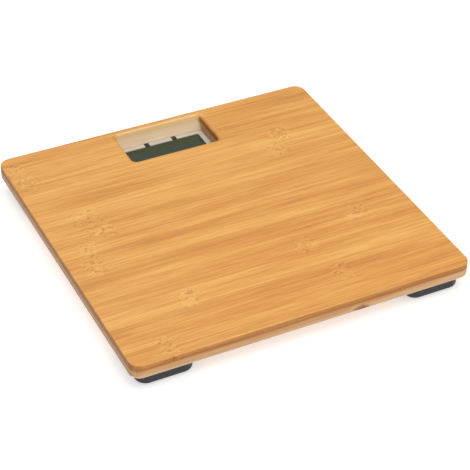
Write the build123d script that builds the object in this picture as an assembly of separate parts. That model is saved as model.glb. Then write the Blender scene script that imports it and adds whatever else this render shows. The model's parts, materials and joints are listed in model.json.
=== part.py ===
"""Digital bathroom scale: a two-ply bamboo platform on four load cell feet, with a sunken display.

Frame: origin on the floor under the middle of the platform, +Z up, +X to the user's right,
+Y towards the edge that carries the display. Millimetres.
"""
import math
import os

from build123d import *

# ------------------------------------------------------------------ platform
platform_width = 280.0
platform_depth = 280.0
upper_ply_thickness = 5.0
lower_ply_thickness = 8.0
platform_corner_radius = 9.0
top_edge_radius = 1.2
bottom_edge_radius = 2.4

# ------------------------------------------------------------------ display pocket
pocket_width = 78.0
pocket_depth = 37.2
pocket_rear_margin = 10.4
pocket_rear_lean = 25.0
pocket_corner_radius = 4.0
pocket_rim_radius = 3.6

# ------------------------------------------------------------------ feet
foot_height = 11.0
foot_width = 45.0
foot_depth = 45.0
foot_side_inset = 6.0
foot_end_inset = 4.0
foot_corner_radius = 9.0
foot_travel = 0.3
shoe_wall = 2.0
shoe_floor = 1.6
shoe_bottom_radius = 2.2
shoe_rim_radius = 0.6
shoe_rim_gap = 0.8
pad_proud = 0.8
pad_recess = 0.8
pad_inset = 2.6
pad_fit = 0.1
tread_count = 6
tread_width = 1.2
tread_depth = 0.4
stud_radius = 4.0
rib_thickness = 1.2
rib_height = 1.2

# ------------------------------------------------------------------ load cells and their carriers
cell_width = 34.0
cell_thickness = 2.4
cell_corner_radius = 3.0
tongue_width = 12.0
tongue_slot = 2.0
tongue_length = 22.0
cell_fit = 0.2
carrier_wall = 1.6
carrier_plate = 2.4
carrier_recess_depth = 1.2
carrier_recess_margin = 3.5
carrier_corner_radius = 4.5
nib_height = 0.75
nib_reach = 1.0
nib_width = 8.0
ledge_drop = 3.2
ledge_height = 1.0
ledge_reach = 1.1
ledge_width = 10.0
hook_height = 1.15
hook_width = 12.0
hook_rest_gap = 0.05
hook_side_gap = 0.2
gauge_length = 4.0
gauge_width = 6.0
gauge_height = 0.35
gauge_offset = 8.5

# ------------------------------------------------------------------ sensor leads and grooves
lead_radius = 0.9
groove_width = 3.2
groove_depth = 3.2
lead_bend_radius = 2.5
lead_start = 8.0
lead_rise_start = 12.0
lead_rise_run = 4.5
lead_end_run = 4.0
lead_drop_run = 6.0
clip_length = 5.0
clip_height = 0.75
clip_fit = 0.05
clip_foot_gap = 4.0
clip_rear_end_gap = 18.0
clip_front_end_gap = 50.0

# ------------------------------------------------------------------ electronics case
case_side_wing = 17.5
case_rear_lip = 4.2
case_height = 8.8
case_ceiling = 1.5
case_wall = 1.8
case_corner_radius = 8.0
case_edge_radius = 1.0
cover_thickness = 1.6
cover_lip_height = 1.0
cover_lip_thickness = 1.2
cover_fit = 0.15
boss_radius = 2.8
boss_inset = 5.0
screw_skin = 0.3

# ------------------------------------------------------------------ display
frame_fit = 0.3
frame_rise = 0.1
frame_lip_width = 4.6
frame_lip_thickness = 0.9
frame_skirt = 1.2
frame_skirt_drop = 3.0
frame_flange_reach = 1.5
frame_flange_thickness = 0.8
frame_flange_gap = 0.1
window_corner_radius = 1.5
opening_fit = 0.15
window_thickness = 0.8
window_fit = 0.15
glass_thickness = 0.95
glass_fit = 0.8
glass_ledge = 3.0
snap_spacing = 25.0
snap_width = 4.0
snap_fit = 0.2
snap_root = 1.1
snap_reach = 3.3
snap_height = 0.55
snap_gap = 0.05

# ------------------------------------------------------------------ circuit board
board_drop = 3.6
board_thickness = 1.0
board_side_reach = 8.0
board_strip_front = 7.6
board_strip_rear = 7.4
board_wing_width = 6.0
board_wing_rear = 26.0
board_bay_right = 12.0
board_wall_gap = 4.9
post_radius = 2.5
post_inset = 3.2
zebra_half_length = 31.0
zebra_width = 2.2
blob_x = -11.0
blob_front_margin = 15.0
blob_radius = 6.0
blob_height = 1.5
switch_width = 5.0
switch_height = 1.4
plunger_radius = 1.2
plunger_fit = 0.05
plunger_length = 1.1
switch_bore_depth = 1.2

# ------------------------------------------------------------------ unit button
button_x = -30.0
button_front_margin = 13.0
button_radius = 4.0
button_flange_radius = 5.5
button_flange_thickness = 0.5
button_proud = 0.2
button_travel = 0.5
button_fit = 0.1

# ------------------------------------------------------------------ battery
battery_side_gap = 10.0
battery_front_gap = 1.5
battery_rear_gap = 10.8
coin_radius = 10.0
coin_height = 3.2
coin_edge = 0.4
coin_fit = 0.25
holder_wall = 1.95
holder_base = 1.0
contact_thickness = 0.3
contact_width = 6.0
cap_margin = 4.0
cap_fit = 0.15
cap_core_height = 0.85
cap_axial_gap = 0.05
coin_gap = 0.1
lug_reach = 1.4
lug_angle = 30.0
lug_slot_extra = 6.0
cap_unlock_angle = 40.0
coin_slot_length = 15.0
coin_slot_width = 2.2
coin_slot_depth = 0.8

# ------------------------------------------------------------------ screws
wood_screw_radius = 1.3
wood_screw_head_radius = 2.7
wood_screw_head_height = 1.15
wood_screw_bite = 6.5
carrier_screw_offset = 10.5
bay_screw_offset = 15.0
bay_screw_inset = 7.0
rear_screw_inset = 10.5
small_screw_radius = 1.0
small_screw_head_radius = 2.1
small_screw_head_height = 1.1
screw_fit = 0.05
cross_width = 0.6
cross_depth = 0.6

# ------------------------------------------------------------------ levels and places worked out from the sizes
underside = foot_height
ply_joint = underside + lower_ply_thickness
platform_top = ply_joint + upper_ply_thickness
platform_rear = platform_depth / 2

pocket_rear = platform_rear - pocket_rear_margin
pocket_front = pocket_rear - pocket_depth
pocket_middle = (pocket_rear + pocket_front) / 2

cap_radius = coin_radius + cap_margin
holder_radius = coin_radius + coin_fit + holder_wall
battery_side_margin = cap_radius + battery_side_gap
battery_front_margin = cap_radius + battery_front_gap
case_bay_depth = battery_front_margin + holder_radius + battery_rear_gap

case_width = pocket_width + 2 * case_side_wing
case_rear = pocket_rear + case_rear_lip
case_front = pocket_front - case_bay_depth
case_depth = case_rear - case_front
case_middle = (case_rear + case_front) / 2
case_bottom = underside - case_height
ceiling_level = underside - case_ceiling
cover_top = case_bottom + cover_thickness

foot_x = platform_width / 2 - foot_side_inset - foot_width / 2
foot_y = platform_depth / 2 - foot_end_inset - foot_depth / 2
feet = {
    "front_left": (-1, -1),
    "front_right": (1, -1),
    "rear_left": (-1, 1),
    "rear_right": (1, 1),
}

cell_top = underside - carrier_plate
cell_bottom = cell_top - cell_thickness
carrier_half = cell_width / 2 + cell_fit + carrier_wall
shoe_bottom = pad_proud
shoe_floor_top = shoe_bottom + pad_recess + shoe_floor
shoe_top = underside - shoe_rim_gap
ledge_top = underside - ledge_drop

frame_top = underside + frame_rise
window_top = frame_top - frame_lip_thickness
front_glass_top = window_top - window_thickness
rear_glass_top = front_glass_top - glass_thickness
rear_glass_bottom = rear_glass_top - glass_thickness
board_top = underside - board_drop
board_bottom = board_top - board_thickness
frame_width = pocket_width - 2 * frame_fit
frame_depth = pocket_depth - 2 * frame_fit
skirt_width = frame_width - 2 * frame_skirt
skirt_depth = frame_depth - 2 * frame_skirt
glass_width = skirt_width - 2 * glass_fit
glass_depth = skirt_depth - 2 * glass_fit
board_half_width = pocket_width / 2 + board_side_reach
board_front = case_front + board_wall_gap
board_strip = pocket_front - board_strip_front

battery_x = case_width / 2 - battery_side_margin
battery_y = case_front + battery_front_margin
coin_bottom = cover_top + cap_core_height + coin_gap
coin_top = coin_bottom + coin_height
button_y = case_front + button_front_margin
groove_level = underside + groove_depth - groove_width / 2 + 0.1
lead_end_level = board_top + lead_radius + 0.1


# ------------------------------------------------------------------ small helpers
def slab(width, depth, radius, bottom, top, at=(0.0, 0.0)):
    """A flat block with rounded upright corners between two levels."""
    outline = Pos(at[0], at[1], bottom) * RectangleRounded(width, depth, radius)
    return extrude(outline, top - bottom)


def block(x_from, x_to, y_from, y_to, bottom, top):
    """A plain block given by its six faces."""
    centre = ((x_from + x_to) / 2, (y_from + y_to) / 2, (bottom + top) / 2)
    return Pos(*centre) * Box(x_to - x_from, y_to - y_from, top - bottom)


def rod(radius, bottom, top, at=(0.0, 0.0)):
    """An upright cylinder between two levels."""
    return Pos(at[0], at[1], (bottom + top) / 2) * Cylinder(radius, top - bottom)


def edges_at(shape, level):
    """The edges that lie flat at one level."""
    return shape.edges().filter_by_position(Axis.Z, level - 0.001, level + 0.001)


def edges_inside(edges, width, depth, at):
    """Those of the edges whose middle is inside a rectangle in plan."""
    kept = []
    for edge in edges:
        middle = edge.center()
        if abs(middle.X - at[0]) <= width / 2 and abs(middle.Y - at[1]) <= depth / 2:
            kept.append(edge)
    return kept


def cross_recess(level, head_radius, at):
    """A cross-shaped driver recess that opens downwards."""
    reach = head_radius * 0.62
    one = block(at[0] - reach, at[0] + reach, at[1] - cross_width / 2, at[1] + cross_width / 2, level - 0.1,
                level + cross_depth)
    other = block(at[0] - cross_width / 2, at[0] + cross_width / 2, at[1] - reach, at[1] + reach, level - 0.1,
                  level + cross_depth)
    return one + other


def pan_screw(at, seat, head_radius, head_height, shank_radius, bite):
    """A pan-head screw driven upwards, with its head hanging under the seat level."""
    head = rod(head_radius, seat - head_height, seat, at)
    head = fillet(edges_at(head, seat - head_height), head_height * 0.45)
    shank = rod(shank_radius, seat, seat + bite, at)
    shank = chamfer(edges_at(shank, seat + bite), shank_radius * 0.6)
    return head + shank - cross_recess(seat - head_height, head_radius, at)


def flat_screw(at, face, head_radius, head_height, shank_radius, length):
    """A countersunk screw driven upwards, flush with a face that looks down."""
    cone = Pos(at[0], at[1], face + head_height / 2) * Cone(head_radius, shank_radius, head_height)
    shank = rod(shank_radius, face + head_height, face + length, at)
    return cone + shank - cross_recess(face, head_radius, at)


def turned(shape, angle, at):
    """A shape turned about the upright axis through a place in plan."""
    return Pos(at[0], at[1], 0) * Rot(0, 0, angle) * Pos(-at[0], -at[1], 0) * shape


def foot_centre(corner):
    side, end = feet[corner]
    return side * foot_x, end * foot_y


# ------------------------------------------------------------------ sensor lead routes
def lead_ends(corner):
    """Where a lead leaves the middle of its foot, and where it ends over the circuit board."""
    side, end = feet[corner]
    start = foot_centre(corner)
    if end > 0:
        return start, (side * (board_half_width - board_wing_width / 2), foot_y)
    return start, (side * (board_half_width - 1.5), board_strip + 4.0)


def lead_line(corner):
    """Start, unit direction and length of a lead's straight route in plan."""
    start, finish = lead_ends(corner)
    run = (finish[0] - start[0], finish[1] - start[1])
    length = math.hypot(run[0], run[1])
    return start, (run[0] / length, run[1] / length), length


def lead_length(corner):
    return lead_line(corner)[2]


def trench(corner, s_from, s_to, width, bottom, top):
    """A straight block that follows a lead's route between two distances from the foot's middle."""
    start, direction, _ = lead_line(corner)
    distance = (s_from + s_to) / 2
    middle = (start[0] + direction[0] * distance, start[1] + direction[1] * distance, (bottom + top) / 2)
    turn = math.degrees(math.atan2(direction[1], direction[0]))
    return Pos(*middle) * Rot(0, 0, turn) * Box(s_to - s_from, width, top - bottom)


def sensor_lead(corner):
    """The lead: out of the foot, up into the groove, along it, and down through the case's ceiling."""
    start, direction, length = lead_line(corner)
    low = underside - carrier_plate + gauge_height + lead_radius + 0.15
    points = [
        (lead_start, low),
        (lead_rise_start, low),
        (lead_rise_start + lead_rise_run, groove_level),
        (length - lead_end_run - lead_drop_run, groove_level),
        (length - lead_end_run, lead_end_level),
        (length, lead_end_level),
    ]
    route = Plane(origin=(start[0], start[1], 0), x_dir=(direction[0], direction[1], 0),
                  z_dir=(direction[1], -direction[0], 0))
    path = route * FilletPolyline(*points, radius=lead_bend_radius)
    section = Plane(origin=path @ 0, z_dir=path % 0) * Circle(lead_radius)
    return sweep(section, path)


def lead_clips():
    """Small plates pressed into the mouths of the grooves under the leads."""
    clips = []
    for corner in feet:
        at_rear = feet[corner][1] > 0
        run_from = foot_width / 2 + clip_foot_gap
        run_to = lead_length(corner) - (clip_rear_end_gap if at_rear else clip_front_end_gap)
        count = 1 if at_rear else 3
        for number in range(count):
            place = run_from + (run_to - run_from) * (number + 0.5) / count
            clips.append(trench(corner, place - clip_length / 2, place + clip_length / 2,
                                groove_width - 2 * clip_fit, underside, underside + clip_height))
    return Compound(clips)


# ------------------------------------------------------------------ screw places
def carrier_screw_places(corner):
    x, y = foot_centre(corner)
    return [(x + i * carrier_screw_offset, y + j * carrier_screw_offset) for i in (-1, 1) for j in (-1, 1)]


def housing_screw_places():
    """Four wood screws through the case's ceiling: two beside the display and two at the front of the bay."""
    side = case_width / 2 - case_wall - wood_screw_head_radius - 1.0
    rear = case_rear - case_wall - rear_screw_inset
    front = case_front + bay_screw_inset
    return [(-side, rear), (side, rear), (-bay_screw_offset, front), (bay_screw_offset, front)]


def cover_screw_places():
    x = case_width / 2 - boss_inset
    return [(i * x, y) for i in (-1, 1) for y in (case_front + boss_inset, case_rear - boss_inset)]


def board_screw_places():
    side = board_half_width - post_inset
    strip = pocket_front + board_strip_rear - post_inset - 0.8
    return [(-side, strip), (side, strip), (-side, board_front + 4.0), (board_bay_right - 4.0, board_front + 4.0)]


# ------------------------------------------------------------------ platform
def pocket_hole():
    """The hole through both plies: upright at the front and sides, and leaning back at the rear."""
    bottom, top = underside - 1, platform_top + 1
    lean = math.tan(math.radians(pocket_rear_lean))
    outlines = []
    for level in (bottom, top):
        depth = pocket_depth + (level - underside) * lean
        place = Pos(0, pocket_front + depth / 2, level)
        outlines.append(place * RectangleRounded(pocket_width, depth, pocket_corner_radius))
    return loft(outlines, ruled=True)


def upper_ply():
    ply = slab(platform_width, platform_depth, platform_corner_radius, ply_joint, platform_top)
    ply = fillet(edges_at(ply, platform_top), top_edge_radius)
    ply = ply - pocket_hole()
    opening = 2 * (platform_rear - pocket_middle) - 2 * top_edge_radius - 0.4
    rim = edges_inside(edges_at(ply, platform_top), pocket_width + 1, opening, (0.0, pocket_middle))
    return fillet(rim, pocket_rim_radius)


def lower_ply():
    ply = slab(platform_width, platform_depth, platform_corner_radius, underside, ply_joint)
    ply = fillet(edges_at(ply, underside), bottom_edge_radius)
    ply = ply - pocket_hole()
    for corner in feet:
        ply = ply - trench(corner, lead_rise_start - 2.5, lead_length(corner) + 1.0, groove_width, underside - 1,
                           underside + groove_depth)
        for place in carrier_screw_places(corner):
            ply = ply - rod(wood_screw_radius + screw_fit, underside - 1,
                            underside - carrier_plate + carrier_recess_depth + wood_screw_bite + screw_skin, place)
    for place in housing_screw_places():
        ply = ply - rod(wood_screw_radius + screw_fit, underside - 1, ceiling_level + wood_screw_bite + screw_skin, place)
    return ply


# ------------------------------------------------------------------ one foot
def foot_shoe(corner):
    """The cup that takes the load from the floor: open at the top, with hooks that hold it on the carrier."""
    at = foot_centre(corner)
    shoe = slab(foot_width, foot_depth, foot_corner_radius, shoe_bottom, shoe_top, at)
    shoe = fillet(edges_at(shoe, shoe_bottom), shoe_bottom_radius)
    shoe = fillet(edges_at(shoe, shoe_top), shoe_rim_radius)
    inside_radius = foot_corner_radius - shoe_wall
    shoe = shoe - slab(foot_width - 2 * shoe_wall, foot_depth - 2 * shoe_wall, inside_radius, shoe_floor_top,
                       shoe_top + 1, at)
    shoe = shoe - slab(foot_width - 2 * pad_inset, foot_depth - 2 * pad_inset, foot_corner_radius - pad_inset,
                       shoe_bottom - 1, shoe_bottom + pad_recess, at)
    inner_x = foot_width / 2 - shoe_wall
    inner_y = foot_depth / 2 - shoe_wall
    shoe = shoe + rod(stud_radius, shoe_floor_top, cell_bottom - foot_travel - hook_rest_gap, at)
    shoe = shoe + block(at[0] - inner_x, at[0] + inner_x, at[1] - rib_thickness / 2, at[1] + rib_thickness / 2,
                        shoe_floor_top, shoe_floor_top + rib_height)
    shoe = shoe + block(at[0] - rib_thickness / 2, at[0] + rib_thickness / 2, at[1] - inner_y, at[1] + inner_y,
                        shoe_floor_top, shoe_floor_top + rib_height)
    hook_bottom = ledge_top + hook_rest_gap
    for side in (-1, 1):
        x_tip, x_root = sorted((side * (carrier_half + hook_side_gap), side * (inner_x + hook_side_gap)))
        y_tip, y_root = sorted((side * (carrier_half + hook_side_gap), side * (inner_y + hook_side_gap)))
        shoe = shoe + block(at[0] + x_tip, at[0] + x_root, at[1] - hook_width / 2, at[1] + hook_width / 2,
                            hook_bottom, hook_bottom + hook_height)
        shoe = shoe + block(at[0] - hook_width / 2, at[0] + hook_width / 2, at[1] + y_tip, at[1] + y_root,
                            hook_bottom, hook_bottom + hook_height)
    return shoe


def foot_pad(corner):
    """The rubber pad in the shoe's underside, with straight grooves for grip."""
    at = foot_centre(corner)
    width = foot_width - 2 * pad_inset - 2 * pad_fit
    depth = foot_depth - 2 * pad_inset - 2 * pad_fit
    pad = slab(width, depth, foot_corner_radius - pad_inset - pad_fit, 0.0, shoe_bottom + pad_recess, at)
    pad = chamfer(edges_at(pad, 0.0), tread_depth)
    pitch = depth / (tread_count + 1)
    for number in range(tread_count):
        y = at[1] - depth / 2 + pitch * (number + 1)
        pad = pad - block(at[0] - width, at[0] + width, y - tread_width / 2, y + tread_width / 2, -1, tread_depth)
    return pad


def cell_carrier(corner):
    """The plate screwed under the platform, with walls round the load cell and nibs that keep it in."""
    at = foot_centre(corner)
    outside = 2 * carrier_half
    pocket = cell_width + 2 * cell_fit
    carrier = slab(outside, outside, carrier_corner_radius, cell_bottom - 0.2, underside, at)
    carrier = carrier - slab(pocket, pocket, cell_corner_radius + cell_fit, cell_bottom - 1, cell_top, at)
    recess = cell_width - 2 * carrier_recess_margin
    carrier = carrier - slab(recess, recess, cell_corner_radius, cell_top - 1, cell_top + carrier_recess_depth, at)
    carrier = carrier - trench(corner, lead_start - 4.0, carrier_half + 3.0, groove_width, cell_top - 0.1,
                               underside + 1)
    nib_top = cell_bottom - 0.05
    for side in (-1, 1):
        tip, root = sorted((side * (pocket / 2 - nib_reach), side * (pocket / 2 + carrier_wall)))
        low, high = nib_top - nib_height, nib_top
        carrier = carrier + block(at[0] + tip, at[0] + root, at[1] - nib_width / 2, at[1] + nib_width / 2, low, high)
        carrier = carrier + block(at[0] - nib_width / 2, at[0] + nib_width / 2, at[1] + tip, at[1] + root, low, high)
        tip, root = sorted((side * (carrier_half - 0.5), side * (carrier_half + ledge_reach)))
        low, high = ledge_top - ledge_height, ledge_top
        carrier = carrier + block(at[0] + tip, at[0] + root, at[1] - ledge_width / 2, at[1] + ledge_width / 2,
                                  low, high)
        carrier = carrier + block(at[0] - ledge_width / 2, at[0] + ledge_width / 2, at[1] + tip, at[1] + root,
                                  low, high)
    for place in carrier_screw_places(corner):
        carrier = carrier - rod(wood_screw_radius + screw_fit, cell_top, underside + 1, place)
    return carrier


def cell_turn(corner):
    """The quarter turn that puts the root of the cell's tongue on the side where the lead leaves."""
    side, end = feet[corner]
    return side * 90.0 if end > 0 else 0.0


def load_cell(corner):
    """A square steel plate with a slot that leaves a tongue in its middle."""
    at = foot_centre(corner)
    plate = slab(cell_width, cell_width, cell_corner_radius, cell_bottom, cell_top, at)
    half_tongue = tongue_width / 2
    half_length = tongue_length / 2
    for side in (-1, 1):
        x_from, x_to = sorted((side * half_tongue, side * (half_tongue + tongue_slot)))
        plate = plate - block(at[0] + x_from, at[0] + x_to, at[1] - half_length, at[1] + half_length,
                              cell_bottom - 1, cell_top + 1)
        plate = plate - rod(tongue_slot * 0.8, cell_bottom - 1, cell_top + 1,
                            (at[0] + side * (half_tongue + tongue_slot / 2), at[1] + half_length))
    plate = plate - block(at[0] - half_tongue, at[0] + half_tongue, at[1] - half_length,
                          at[1] - half_length + tongue_slot, cell_bottom - 1, cell_top + 1)
    return turned(plate, cell_turn(corner), at)


def strain_gauge(corner):
    """The gauge on the root of the tongue, under a smear of sealing compound."""
    at = foot_centre(corner)
    patch = slab(gauge_width, gauge_length, 1.0, cell_top, cell_top + gauge_height, (at[0], at[1] + gauge_offset))
    patch = fillet(edges_at(patch, cell_top + gauge_height), gauge_height * 0.6)
    return turned(patch, cell_turn(corner), at)


def carrier_screws():
    seat = cell_top + carrier_recess_depth
    screws = []
    for corner in feet:
        for place in carrier_screw_places(corner):
            screws.append(pan_screw(place, seat, wood_screw_head_radius, wood_screw_head_height,
                                    wood_screw_radius, wood_screw_bite))
    return Compound(screws)


# ------------------------------------------------------------------ electronics case
def snap_places():
    """Middle of each display snap: x, the side of the display that it is on."""
    return [(i * snap_spacing / 2, j) for i in (-1, 1) for j in (-1, 1)]


def display_opening(bottom, top):
    width = frame_width + 2 * opening_fit
    depth = frame_depth + 2 * opening_fit
    return slab(width, depth, pocket_corner_radius, bottom, top, (0.0, pocket_middle))


def snap_tongue(x, side):
    """A hook that rises from the ceiling beside the display and reaches over the window's edge."""
    edge = side * (frame_depth / 2 + opening_fit)
    root = edge - side * snap_root
    nose = edge - side * snap_reach
    top = window_top + snap_gap + snap_height
    y_from, y_to = sorted((pocket_middle + edge, pocket_middle + root))
    tongue = block(x - snap_width / 2, x + snap_width / 2, y_from, y_to, ceiling_level, top)
    y_from, y_to = sorted((pocket_middle + edge, pocket_middle + nose))
    hook = block(x - snap_width / 2, x + snap_width / 2, y_from, y_to, window_top + snap_gap, top)
    return tongue + hook


def display_housing():
    """The case: walls and a ceiling under the platform, open downwards and round the display."""
    case = slab(case_width, case_depth, case_corner_radius, cover_top, underside, (0.0, case_middle))
    inside = (case_width - 2 * case_wall, case_depth - 2 * case_wall)
    case = case - slab(inside[0], inside[1], case_corner_radius - case_wall, cover_top - 1, ceiling_level,
                       (0.0, case_middle))
    for place in cover_screw_places():
        case = case + rod(boss_radius, cover_top, ceiling_level + 0.2, place)
    for place in cover_screw_places():
        case = case - rod(small_screw_radius + screw_fit, cover_top - 1, ceiling_level - 0.3, place)
    for place in board_screw_places():
        case = case + rod(post_radius, board_top, ceiling_level + 0.2, place)
        case = case - rod(small_screw_radius + screw_fit, board_top - 1, ceiling_level + 0.2, place)
    case = case - display_opening(ceiling_level - 1, underside + 1)
    for place in housing_screw_places():
        case = case - rod(wood_screw_radius + screw_fit, ceiling_level - 1, underside + 1, place)
    for corner in feet:
        length = lead_length(corner)
        case = case - trench(corner, length - lead_end_run - lead_drop_run - 1.5, length - 1.0, groove_width,
                             ceiling_level - 1, underside + 1)
    for x, side in snap_places():
        case = case + snap_tongue(x, side)
    return case


def bottom_cover():
    """The lid of the case, with the battery opening, the button's hole and a lip that locates it."""
    at = (0.0, case_middle)
    cover = slab(case_width, case_depth, case_corner_radius, case_bottom, cover_top, at)
    cover = fillet(edges_at(cover, case_bottom), case_edge_radius)
    lip_width = case_width - 2 * case_wall - 2 * cover_fit
    lip_depth = case_depth - 2 * case_wall - 2 * cover_fit
    lip_radius = case_corner_radius - case_wall - cover_fit
    lip = slab(lip_width, lip_depth, lip_radius, cover_top, cover_top + cover_lip_height, at)
    lip = lip - slab(lip_width - 2 * cover_lip_thickness, lip_depth - 2 * cover_lip_thickness,
                     lip_radius - cover_lip_thickness, cover_top - 1, cover_top + cover_lip_height + 1, at)
    for place in cover_screw_places():
        lip = lip - rod(boss_radius + 2 * cover_fit, cover_top - 1, cover_top + cover_lip_height + 1, place)
    cover = cover + lip
    for place in cover_screw_places():
        cover = cover - rod(small_screw_radius + screw_fit, case_bottom - 1, cover_top + 1, place)
        cone = Cone(small_screw_head_radius + screw_fit, small_screw_radius + screw_fit, small_screw_head_height)
        cover = cover - Pos(place[0], place[1], case_bottom + small_screw_head_height / 2) * cone
    cover = cover - rod(button_radius + button_fit, case_bottom - 1, cover_top + 1, (button_x, button_y))
    battery = (battery_x, battery_y)
    cover = cover - rod(cap_radius + cap_fit, case_bottom - 1, cover_top + 1, battery)
    for start_angle in (0.0, 180.0):
        middle = start_angle - cap_unlock_angle
        slot = ring_sector(cap_radius - 1.0, cap_radius + lug_reach + 2 * cap_fit, lug_angle + lug_slot_extra,
                           middle, case_bottom - 1, cover_top + 1, battery)
        cover = cover - slot
    return cover


def ring_sector(inner, outer, angle, middle, bottom, top, at):
    """A piece of a flat ring between two levels, centred on an angle."""
    ring = rod(outer, bottom, top, at) - rod(inner, bottom - 1, top + 1, at)
    reach = 3 * outer
    half = math.radians(angle / 2)
    wedge = Polyline((0, 0), (reach, -reach * math.tan(half)), (reach, reach * math.tan(half)), (0, 0))
    wedge = extrude(Pos(0, 0, bottom - 1) * make_face(wedge), top - bottom + 2)
    return ring & (Pos(at[0], at[1], 0) * Rot(0, 0, middle) * wedge)


def housing_screws():
    return Compound([
        pan_screw(place, ceiling_level, wood_screw_head_radius, wood_screw_head_height, wood_screw_radius,
                  wood_screw_bite)
        for place in housing_screw_places()
    ])


def cover_screws():
    length = ceiling_level - case_bottom - 1.2
    return Compound([
        flat_screw(place, case_bottom, small_screw_head_radius, small_screw_head_height, small_screw_radius, length)
        for place in cover_screw_places()
    ])


def board_screws():
    bite = ceiling_level - board_bottom - 0.3
    return Compound([
        pan_screw(place, board_bottom, small_screw_head_radius, small_screw_head_height, small_screw_radius, bite)
        for place in board_screw_places()
    ])


# ------------------------------------------------------------------ display
def lcd_frame():
    """The light frame: a lip over the window, a skirt round the glass, and a flange behind the ceiling."""
    at = (0.0, pocket_middle)
    outer_radius = pocket_corner_radius - frame_fit
    skirt_bottom = underside - frame_skirt_drop
    frame = slab(frame_width, frame_depth, outer_radius, skirt_bottom, frame_top, at)
    flange_top = ceiling_level - frame_flange_gap
    frame = frame + slab(frame_width + 2 * frame_flange_reach, frame_depth + 2 * frame_flange_reach,
                         outer_radius + frame_flange_reach, flange_top - frame_flange_thickness, flange_top, at)
    frame = frame - slab(skirt_width, skirt_depth, outer_radius - frame_skirt, skirt_bottom - 1, window_top, at)
    frame = frame - slab(frame_width - 2 * frame_lip_width, frame_depth - 2 * frame_lip_width,
                         window_corner_radius, skirt_bottom - 1, frame_top + 1, at)
    for x, side in snap_places():
        edge = side * (frame_depth / 2 + frame_flange_reach + 1)
        inner = side * (frame_depth / 2 - frame_lip_width)
        y_from, y_to = sorted((pocket_middle + edge, pocket_middle + inner))
        half = snap_width / 2 + snap_fit
        frame = frame - block(x - half, x + half, y_from, y_to, flange_top, frame_top + 1)
    return frame


def display_window():
    return slab(skirt_width - 2 * window_fit, skirt_depth - 2 * window_fit, pocket_corner_radius - frame_skirt,
                front_glass_top, window_top, (0.0, pocket_middle))


def lcd_front_glass():
    return block(-glass_width / 2, glass_width / 2, pocket_middle - glass_depth / 2, pocket_middle + glass_depth / 2,
                 rear_glass_top, front_glass_top)


def lcd_rear_glass():
    return block(-glass_width / 2, glass_width / 2, pocket_middle - glass_depth / 2 + glass_ledge,
                 pocket_middle + glass_depth / 2, rear_glass_bottom, rear_glass_top)


def zebra_connector():
    """The striped rubber bar that joins the glass's ledge to the circuit board."""
    front = pocket_middle - glass_depth / 2 + (glass_ledge - zebra_width) / 2
    return block(-zebra_half_length, zebra_half_length, front, front + zebra_width, board_top, rear_glass_top)


# ------------------------------------------------------------------ circuit board
def circuit_board():
    """A board with a bay at the front left, a strip under the glass's ledge and two wings for the rear leads."""
    rear = pocket_front + board_strip_rear
    strip = block(-board_half_width, board_half_width, board_strip, rear, board_bottom, board_top)
    bay = block(-board_half_width, board_bay_right, board_front, board_strip + 1, board_bottom, board_top)
    board = strip + bay
    for side in (-1, 1):
        x_from, x_to = sorted((side * (board_half_width - board_wing_width), side * board_half_width))
        board = board + block(x_from, x_to, rear - 1, pocket_front + board_wing_rear, board_bottom, board_top)
    for place in board_screw_places():
        board = board - rod(small_screw_radius + screw_fit, board_bottom - 1, board_top + 1, place)
    return board


def controller_blob():
    """The bare chip under its drop of black resin."""
    at = (blob_x, board_front + blob_front_margin)
    drop = rod(blob_radius, board_bottom - blob_height, board_bottom, at)
    return fillet(edges_at(drop, board_bottom - blob_height), blob_height * 0.9)


def board_components():
    """Resistors, capacitors and the clock crystal, soldered on the side that faces the floor."""
    chip_length, chip_width, resistor_height, capacitor_height = 3.2, 1.6, 0.6, 0.8
    row = board_front + 24.5
    column = 2.0
    pieces = []
    for number in range(6):
        x = -40.0 + number * 6.0
        pieces.append(block(x, x + chip_length, row, row + chip_width, board_bottom - resistor_height, board_bottom))
    for number in range(4):
        y = board_front + 6.0 + number * 5.0
        pieces.append(block(column, column + chip_width, y, y + chip_length, board_bottom - capacitor_height,
                            board_bottom))
    crystal = Pos(-38.0, board_front + 17.0, board_bottom - 1.0) * Rot(0, 90, 0) * Cylinder(1.0, 6.0)
    pieces.append(crystal)
    return Compound(pieces)


def unit_switch():
    body = slab(switch_width, switch_width, 0.6, board_bottom - switch_height, board_bottom, (button_x, button_y))
    bore_top = board_bottom - switch_height + switch_bore_depth
    return body - rod(plunger_radius + plunger_fit, board_bottom - switch_height - 1, bore_top, (button_x, button_y))


def switch_plunger():
    bottom = button_flange_top()
    return rod(plunger_radius, bottom, bottom + plunger_length, (button_x, button_y))


def button_flange_top():
    return board_bottom - switch_height - button_travel - 0.1


def unit_button():
    """A round button with a flange that keeps it behind the cover."""
    at = (button_x, button_y)
    flange_top = button_flange_top()
    flange = rod(button_flange_radius, flange_top - button_flange_thickness, flange_top, at)
    face = case_bottom - button_proud
    shaft = rod(button_radius, face, flange_top, at)
    shaft = fillet(edges_at(shaft, face), 0.4)
    return flange + shaft


# ------------------------------------------------------------------ battery
def battery_holder():
    """A well for the coin cell, with slots for its two contacts."""
    at = (battery_x, battery_y)
    holder = rod(holder_radius, coin_bottom, ceiling_level, at)
    holder = holder - rod(coin_radius + coin_fit, coin_bottom - 1, ceiling_level - holder_base, at)
    half = contact_width / 2 + 0.3
    holder = holder - block(battery_x - holder_radius - 1, battery_x - coin_radius + 1, battery_y - half,
                            battery_y + half, coin_bottom - 1, ceiling_level - holder_base)
    holder = holder - block(battery_x - half, battery_x + half, battery_y + coin_radius - 1,
                            battery_y + holder_radius + 1, coin_top - 0.5, ceiling_level - holder_base)
    return holder


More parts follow.
